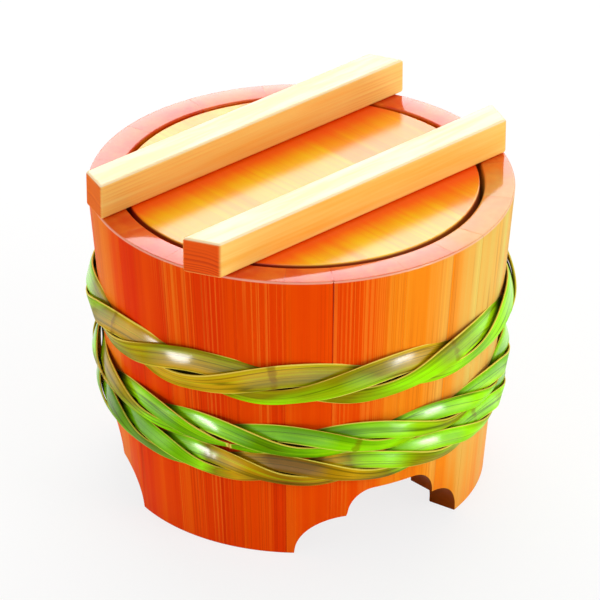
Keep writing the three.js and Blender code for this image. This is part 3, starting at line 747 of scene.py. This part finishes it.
def hoop_graph():
    """Winds a strip round the tub over a core strand: it swings up and down the wall and in and out."""
    sizes = ["Strip Width", "Length", "Height", "Front Rise", "Right Rise", "Swing", "Lift", "Stand"]
    sizes += ["Pass Lean", "Hug Lean", "Wobble", "Dry Middle", "Dry Reach", "Dry Depth", "Start Angle"]
    sizes += ["Start Phase", "Sweep", "Twist Rate", "Node Spacing", "Node Shift", "Seed"]
    graph = GeometryGraph("twisted_hoop", ["Steps", "Core Steps"], sizes)
    given = graph.inputs
    row, along = graph.line(given["Steps"])
    swept = graph.times(along, given["Sweep"])
    angle = graph.add(given["Start Angle"], swept)
    phase = graph.add(given["Start Phase"], graph.times(swept, given["Twist Rate"]))

    def unsteady(pace, shift):
        place = graph.combine(graph.times(swept, pace), graph.add(given["Seed"], shift), 0)
        return graph.times(graph.minus(graph.noise(place, 1.0, detail=1), 0.5), 2)

    up = graph.times(given["Swing"], graph.math("SINE", phase))
    up = graph.add(up, graph.times(unsteady(2.3, 0), given["Wobble"]))
    out = graph.add(given["Stand"], graph.times(given["Lift"], graph.math("COSINE", phase)))

    def beside_wall(angle, up, out):
        """A place so far up the wall from the hoop's middle, and so far out from the wall."""
        aslant = graph.times(graph.math("COSINE", angle), given["Front Rise"])
        aslant = graph.add(aslant, graph.times(graph.math("SINE", angle), given["Right Rise"]))
        level = graph.add(given["Height"], aslant)
        wall = graph.add(FOOT_RADIUS, graph.times(level, WALL_TAPER))
        rise, lean = math.cos(WALL_TILT), math.sin(WALL_TILT)
        radius = graph.add(wall, graph.times(up, lean), graph.times(out, rise))
        z = graph.add(level, graph.times(up, rise), graph.times(out, -lean))
        return graph.round_the_tub(radius, angle, z)

    row = graph.place(row, beside_wall(angle, up, out))
    passing = graph.times(graph.math("SINE", graph.times(phase, HOOP_LAPS)), given["Pass Lean"])
    hugging = graph.times(graph.math("SINE", phase), given["Hug Lean"])
    roll = graph.times(unsteady(3.1, 7), given["Pass Lean"])
    roll = graph.minus(roll, graph.add(passing, hugging))
    from_dry = graph.math("WRAP", graph.minus(angle, given["Dry Middle"]), math.pi, -math.pi)
    from_dry = graph.math("DIVIDE", graph.math("ABSOLUTE", from_dry), given["Dry Reach"])
    from_dry = graph.add(from_dry, graph.times(unsteady(1.1, 21), 0.9))
    # Towards the tub's right the cane shifts towards lime: partly its own colour, partly painted light on
    # the lit side
    right_tint_and_light = graph.ramp(graph.math("SINE", angle), 0.05, 0.6, high=0.36)
    dry = graph.times(graph.ramp(from_dry, 2.3, 0.2), given["Dry Depth"])
    dry = graph.add(dry, right_tint_and_light)
    # How deep in the twist a point lies, for painted shade there
    deep = graph.ramp(graph.math("COSINE", phase), -0.7, -0.95)
    upper = graph.ramp(graph.math("SINE", phase), 0.1, 0.8)
    run = graph.times(along, given["Length"])
    row = graph.keep(row, run=run, dry=dry, deep=deep, upper=upper, roll=roll)
    # The strip's face lies along the wall, rolled so that one lap tucks in behind the next
    x, y, _ = graph.separate(graph.node("GeometryNodeInputPosition").outputs[0])
    facing = graph.vector("NORMALIZE", graph.combine(x, y, 0))
    facing = graph.vector("MULTIPLY", facing, (math.cos(WALL_TILT), math.cos(WALL_TILT), 0))
    facing = graph.vector("ADD", facing, (0, 0, -math.sin(WALL_TILT)))
    forward = graph.node("GeometryNodeInputTangent").outputs[0]
    across = graph.vector("NORMALIZE", graph.vector("CROSS_PRODUCT", facing, forward))
    outward = graph.vector("CROSS_PRODUCT", forward, across)
    inputs = {"Vector": outward, "Axis": forward, "Angle": graph.kept("roll")}
    outward = graph.node("ShaderNodeVectorRotate", inputs, rotation_type="AXIS_ANGLE").outputs[0]
    run = graph.kept("run")
    to_end = graph.math("MINIMUM", run, graph.minus(given["Length"], run))
    narrowing = graph.ramp(to_end, 0, STRIP_TIP, low=STRIP_TIP_SHARE)
    profile = graph.section()
    strip = graph.sweep(graph.curve(row, outward), profile, narrowing)
    # Nodes: a low ridge across the skin where the cane was jointed
    cells = graph.add(graph.math("DIVIDE", run, given["Node Spacing"]), given["Node Shift"])
    to_node = graph.math("ABSOLUTE", graph.minus(graph.math("FRACT", cells), 0.5))
    to_node = graph.times(to_node, given["Node Spacing"])
    near_node = graph.ramp(to_node, NODE_SMUDGE, 0)
    ridge = graph.ramp(to_node, NODE_REACH, 0)
    skin = graph.ramp(graph.kept("section_x"), -0.15 * MM, 0.15 * MM)
    normal = graph.node("GeometryNodeInputNormal").outputs[0]
    offset = graph.vector("MULTIPLY", normal, graph.times(ridge, skin, NODE_RIDGE))
    strip = graph.node("GeometryNodeSetPosition", {"Geometry": strip, "Offset": offset}).outputs[0]
    share = graph.math("DIVIDE", graph.kept("section_y"), given["Strip Width"])
    share = graph.math("ABSOLUTE", share)
    cut = graph.ramp(to_end, STRIP_TIP_BARE, 0, high=1.1)
    bare = graph.math("MAXIMUM", graph.times(share, 2), cut)
    polish = graph.times(graph.ramp(share, 0.48, 0.2), skin, graph.kept("upper"))
    through = graph.add(graph.kept("section_x"), given["Seed"])
    grain = graph.combine(graph.kept("section_y"), through, run)
    strip = graph.keep(strip, polish=polish, edge=bare, skin=skin, node=near_node, grain=grain)
    # A strand inside the winding, painted dark as shade, which shows through its slits
    core, core_along = graph.line(given["Core Steps"])
    core_angle = graph.add(given["Start Angle"], graph.times(core_along, given["Sweep"], 1 / HOOP_LAPS))
    core_out = graph.add(given["Stand"], graph.times(given["Lift"], CORE_OUT))
    core = graph.place(core, beside_wall(core_angle, 0.0, core_out))
    core = graph.sweep(graph.curve(core, outward), profile, CORE_SHARE)
    core = graph.keep(core, deep=CORE_PAINTED_SHADE)
    both = graph.node("GeometryNodeJoinGeometry")
    graph.feed(both.inputs[0], strip)
    graph.feed(both.inputs[0], core)
    graph.finish(both.outputs[0])
    return graph


def wind_hoop(
    graph, name, width, overlap, middle, rises, lift, hug, wobble,
    twists, handed, start, start_phase, first_node, dry, seed,
):
    """One hoop in place of its CAD winding. Its laps lie side by side where they pass, less an overlap."""
    lap_share = 2 * math.sin(math.pi / HOOP_LAPS)
    turns = twists / HOOP_LAPS
    slope = math.atan(width / lap_share * turns / FOOT_RADIUS)
    swing = (width / math.cos(slope) - overlap) / lap_share
    stand = STRIP_OFF_WALL + lift + STRIP_THICKNESS / 2
    radius = outer_radius(middle) + stand
    sweep = 2 * math.pi * HOOP_LAPS - STRIP_END_GAP / radius
    spacing = NODE_ANGLE * radius
    outline = strip_section(width, STRIP_THICKNESS, STRIP_DOME_SHARE * width)
    section = section_curve("strip_section", outline)
    values = {
        "Section": section,
        "Steps": round(sweep * radius / STRIP_STEP),
        "Core Steps": round(sweep * radius / STRIP_STEP / HOOP_LAPS / 2),
        "Strip Width": width,
        "Height": middle,
        "Front Rise": rises[0],
        "Right Rise": rises[1],
        "Swing": swing,
        "Lift": lift,
        "Stand": stand,
        "Pass Lean": STRIP_PASS_LEAN,
        "Hug Lean": math.radians(hug),
        "Wobble": wobble,
        "Dry Middle": math.radians(dry[0]),
        "Dry Reach": math.radians(dry[1]),
        "Dry Depth": dry[2],
        "Start Angle": math.radians(start),
        "Start Phase": math.radians(start_phase),
        "Sweep": sweep,
        "Twist Rate": handed * turns,
        "Length": sweep * radius,
        "Node Spacing": spacing,
        "Node Shift": 0.5 - math.radians(first_node - start) * radius / spacing,
        "Seed": seed,
        "Material": BAMBOO,
    }
    hoop = grown(f"{name}_bamboo", graph, values, sharp=math.radians(50))
    bpy.data.objects.remove(section)
    dress(hoop, "tub", "hoop_bamboo", name)


def make_hoops():
    """The upper hoop climbs to the right, the two lower ones fall to the right."""
    graph = hoop_graph()
    wind_hoop(
        graph,
        "upper_hoop",
        width=11.2 * MM,
        overlap=-0.15 * MM,
        middle=101.0 * MM,
        rises=(0.0, -0.6 * MM),
        lift=2.2 * MM,
        hug=23,
        twists=13,
        handed=1,
        start=160,
        start_phase=180,
        first_node=300,
        dry=(-30, 45, 1.15),
        wobble=1.1 * MM,
        seed=1.7,
    )
    wind_hoop(
        graph,
        "lower_hoop_top",
        width=8.4 * MM,
        overlap=-0.1 * MM,
        middle=68.2 * MM,
        rises=(0.0, -1.2 * MM),
        lift=2.4 * MM,
        hug=26,
        twists=16,
        handed=-1,
        start=-20,
        start_phase=-69,
        first_node=100,
        dry=(-66, 16, 1.0),
        wobble=0.9 * MM,
        seed=4.3,
    )
    wind_hoop(
        graph,
        "lower_hoop_bottom",
        width=8.4 * MM,
        overlap=-0.1 * MM,
        middle=50.6 * MM,
        rises=(0.6 * MM, -0.9 * MM),
        lift=2.2 * MM,
        hug=26,
        twists=16,
        handed=-1,
        start=156,
        start_phase=180,
        first_node=360 + 6,
        dry=(-4, 15, 2.1),
        wobble=0.9 * MM,
        seed=8.9,
    )


# Lid, base and bars
def prism(outline, bottom, top):
    """A flat outline drawn upwards into a closed block, as a bmesh."""
    shape = bmesh.new()
    low = [shape.verts.new((x, y, bottom)) for x, y in outline]
    high = [shape.verts.new((x, y, top)) for x, y in outline]
    shape.faces.new(low[::-1])
    shape.faces.new(high)
    count = len(outline)
    for k in range(count):
        shape.faces.new((low[k], low[(k + 1) % count], high[(k + 1) % count], high[k]))
    for face in shape.faces:
        face.smooth = True
    return shape


def eased(name, shape, width, material, is_round, is_sharp=lambda edge: False):
    """The block as an object, with some edges rounded and some kept sharp."""
    layer = shape.edges.layers.float.new("bevel_weight_edge")
    for edge in shape.edges:
        edge[layer] = 1.0 if is_round(edge) else 0.0
        edge.smooth = not is_sharp(edge)
    mesh = bpy.data.meshes.new(name)
    shape.to_mesh(mesh)
    shape.free()
    piece = new_object(name, mesh)
    bevel = piece.modifiers.new("ease", "BEVEL")
    bevel.width = width
    bevel.segments = 4
    bevel.limit_method = "WEIGHT"
    weighted = piece.modifiers.new("flats", "WEIGHTED_NORMAL")
    weighted.keep_sharp = True
    flattened(piece)
    piece.data.materials.append(material)
    return piece


def set_grain(piece, turn, offset, tone):
    """Grain values across, through and along a piece that lies along Y once turned back by turn."""
    back = Matrix.Rotation(-turn, 3, "Z")
    values = []
    for vertex in piece.data.vertices:
        at = back @ vertex.co
        values += [at.x + offset, at.z, at.y + 3 * offset]
    set_on_points(piece, grain=values, tone=[tone] * len(piece.data.vertices))


def plank_outline(radius, left, right):
    """A disc's slice between two lines across X, counter-clockwise."""
    step = math.radians(1.5)
    start = math.acos(min(right / radius, 1))
    end = math.acos(max(left / radius, -1))
    count = max(2, math.ceil((end - start) / step))
    turns = [start + (end - start) * k / count for k in range(count + 1)]
    upper = [(radius * math.cos(t), radius * math.sin(t)) for t in turns]
    lower = [(x, -y) for x, y in reversed(upper)]
    merged = upper + lower
    return [p for k, p in enumerate(merged) if math.dist(p, merged[k - 1]) > 0.01 * MM]


def make_board(name, body, slot, radius, turn, material, tones):
    """A round board of three planks in place of its CAD planks, which give the joints and heights."""
    back = Matrix.Rotation(-turn, 3, "Z")
    for (side, tone), offset in zip(tones.items(), PLANK_GRAIN):
        node = f"{name}_plank_{side}"
        points = [back @ vertex.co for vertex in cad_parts[node].data.vertices]
        left, right = min(p.x for p in points), max(p.x for p in points)
        low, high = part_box(node)
        seams = []
        if left > -radius + MM:
            left -= SEAM_CLOSE
            seams.append(left)
        if right < radius - MM:
            right += SEAM_CLOSE
            seams.append(right)

        def on_seam(edge, seams=seams):
            return any(all(abs(v.co.x - seam) < 0.01 * MM for v in edge.verts) for seam in seams)

        def on_rim(edge, on_seam=on_seam):
            level = abs(edge.verts[0].co.z - edge.verts[1].co.z) < MM
            return level and not on_seam(edge)

        shape = prism(plank_outline(radius, left, right), low.z, high.z)
        piece = eased(f"{node}_wood", shape, PLANK_ROUND, material, on_rim, on_seam)
        piece.data.transform(Matrix.Rotation(turn, 4, "Z"))
        set_grain(piece, turn, offset, tone)
        outwards = [vertex.co.xy.length - radius for vertex in piece.data.vertices]
        set_on_points(piece, edge=[max(0.0, 1 + out / EDGE_GRAIN_AND_SHADE) for out in outwards])
        dress(piece, body, slot, node)


def make_bars():
    """The two bars, with their ends sawn along the rim, a little squarer on the left."""
    for node, (offset, tone, squarer) in BARS.items():
        low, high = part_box(node)
        slip = (low.x + high.x) / 2
        across = (low.y + high.y) / 2
        corners = []
        for y, side in ((low.y, -1), (low.y, 1), (high.y, 1), (high.y, -1)):
            corners.append((slip + side * math.sqrt((RIM_RADIUS + BAR_OVERHANG) ** 2 - y**2), y))
        corners[3] = (corners[3][0] - squarer, corners[3][1])
        shape = prism(corners, low.z, high.z)
        bar = eased(f"{node}_wood", shape, BAR_ROUND, BAR_WOOD, lambda edge: True)
        grain, sawn, top, crest = [], [], [], []
        for vertex in bar.data.vertices:
            x, y, z = vertex.co
            (x0, y0), (x1, y1) = (corners[0], corners[3]) if x < slip else (corners[1], corners[2])
            end = x0 + (x1 - x0) * (y - y0) / (y1 - y0)
            grain += [y - across, z - low.z, x + 3 * offset]
            sawn.append(max(0.0, 1 - abs(end - x) / (0.5 * BAR_ROUND)))
            # The top and its rounded crest, which take the painted highlight
            top.append(max(0.0, 1 - (high.z - z) / (0.1 * BAR_ROUND)))
            crest.append(max(0.0, 1 - (high.z - z) / BAR_ROUND))
        set_on_points(bar, grain=grain, sawn=sawn, top=top, crest=crest, tone=[tone] * len(sawn))
        dress(bar, "lid", "bar_wood", node)


def finish_pegs():
    """The pegs and nails keep their CAD shape and take a bamboo finish."""
    for name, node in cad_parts.items():
        if "peg" in name or "nail" in name:
            node.material_slots[0].material = PEG_BAMBOO


# Stage
def aim(piece, place, target):
    piece.location = place
    piece.rotation_euler = (Vector(target) - Vector(place)).to_track_quat("-Z", "Y").to_euler()


def from_camera_side(azimuth, elevation, distance, height):
    """A place round the tub: azimuth is counted from the camera's side, to the right of it."""
    angle = math.radians(azimuth) + TUB_TURN
    level = distance * math.cos(math.radians(elevation))
    rise = distance * math.sin(math.radians(elevation))
    return Vector((level * math.sin(angle), -level * math.cos(angle), height + rise))


def make_camera():
    data = bpy.data.cameras.new("camera")
    data.sensor_width = 36
    data.lens = CAMERA_LENS
    data.clip_end = 20
    camera = new_object("camera", data)
    middle = Vector((0, 0, CAMERA_AIM))
    place = from_camera_side(0, CAMERA_ELEVATION, CAMERA_DISTANCE, CAMERA_AIM)
    right = Vector((math.cos(TUB_TURN), math.sin(TUB_TURN), 0))
    aside = CAMERA_ASIDE * right
    aim(camera, place + aside, middle + aside)
    bpy.context.scene.camera = camera


def softbox(name, azimuth, elevation, distance, size, radiance):
    """A soft lamp round the tub, as bright as radiance says: white paper under plain light is about 1."""
    data = bpy.data.lights.new(name, "AREA")
    data.shape = "RECTANGLE"
    data.size, data.size_y = size
    data.energy = radiance * math.pi * size[0] * size[1]
    aim(new_object(name, data), from_camera_side(azimuth, elevation, distance, LAMP_AIM), (0, 0, LAMP_AIM))


def make_lights():
    softbox("window_behind", 180, 31, 1.6, (1.8, 1.0), 3.7)
    softbox("soft_right", 58, 21, 1.5, (0.66, 1.04), 3.2)
    softbox("strip_left", -60, 1, 1.4, (0.5, 0.14), 20.0)
    softbox("strip_right", 60, 1.5, 1.4, (0.4, 0.15), 16.0)
    softbox("soft_above", 180, 80, 1.6, (0.8, 0.8), 1.9)


def make_world():
    world = bpy.data.worlds.new("studio")
    bpy.context.scene.world = world
    world.use_nodes = True
    set_evenly(world.node_tree.nodes["Background"], {"Color": (1, 1, 1, 1), "Strength": 0.5})


def make_floor():
    """A plain pale floor, mostly white to the eye and in reflections, with the tub's shadow on it."""
    mesh = bpy.data.meshes.new("floor")
    corners = [(x * FLOOR_HALF, y * FLOOR_HALF, 0) for x, y in ((-1, -1), (1, -1), (1, 1), (-1, 1))]
    mesh.from_pydata(corners, [], [(0, 1, 2, 3)])
    material = bpy.data.materials.new("pale_floor")
    material.use_nodes = True
    graph = Graph(material.node_tree)
    nodes = material.node_tree.nodes
    shader = nodes["Principled BSDF"]
    set_evenly(shader, {"Base Color": (0.86, 0.86, 0.86, 1), "Roughness": 0.9, "Specular IOR Level": 0.1})
    glow = graph.node("ShaderNodeEmission", {"Color": (1, 1, 1, 1), "Strength": 1.0})
    rays = graph.node("ShaderNodeLightPath").outputs
    seen = graph.math("MAXIMUM", rays["Is Camera Ray"], rays["Is Glossy Ray"])
    seen = graph.math("MAXIMUM", seen, rays["Is Transmission Ray"])
    inputs = {0: graph.times(seen, FLOOR_GLOW), 1: shader.outputs[0], 2: glow.outputs[0]}
    mix = graph.node("ShaderNodeMixShader", inputs)
    graph.feed(nodes["Material Output"].inputs["Surface"], mix.outputs[0])
    mesh.materials.append(material)
    floor = new_object("floor", mesh)


make_camera()
make_world()
make_lights()
make_floor()
make_staves()
make_hoops()
make_board(
    "base", "tub", "base_wood", BASE_RADIUS, TUB_TURN, BASE_WOOD, {"left": 0.4, "middle": 0.6, "right": 0.5}
)
make_board("lid", "lid", "lid_wood", LID_RADIUS, 0, LID_WOOD, {"left": 0.5, "middle": 0.62, "right": 0.1})
make_bars()
finish_pegs()

bpy.context.scene.view_settings.view_transform = "Standard"
